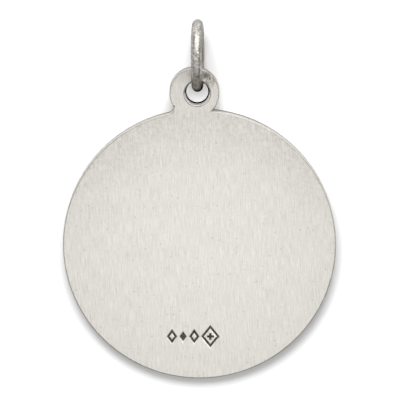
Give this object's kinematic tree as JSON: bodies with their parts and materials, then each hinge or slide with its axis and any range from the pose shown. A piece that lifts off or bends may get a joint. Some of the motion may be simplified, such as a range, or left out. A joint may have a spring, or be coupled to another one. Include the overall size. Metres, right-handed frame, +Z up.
{
  "type": "religious medal pendant",
  "caption": "Round flat religious medal with a pierced ear at the top and a round wire jump ring through it, lying face down with its brushed plain back up.",
  "frame": {"origin": "on the surface that the piece lies on, under the centre of its bounding box", "axes": "+Z up, away from the surface; +Y from the disc towards the ear and the jump ring; +X to the right when looking down at the plain back with the ear at the top"},
  "size_m": [0.025, 0.0332, 0.0066],
  "materials": {
    "medal_silver": "satin brushed sterling silver, darkened in the hollows of the front",
    "ring_silver": "semi-bright sterling silver wire, lightly tarnished"
  },
  "bodies": {
    "root": {"medal": "medal_silver", "jump_ring": "ring_silver"}
  },
  "joints": []
}
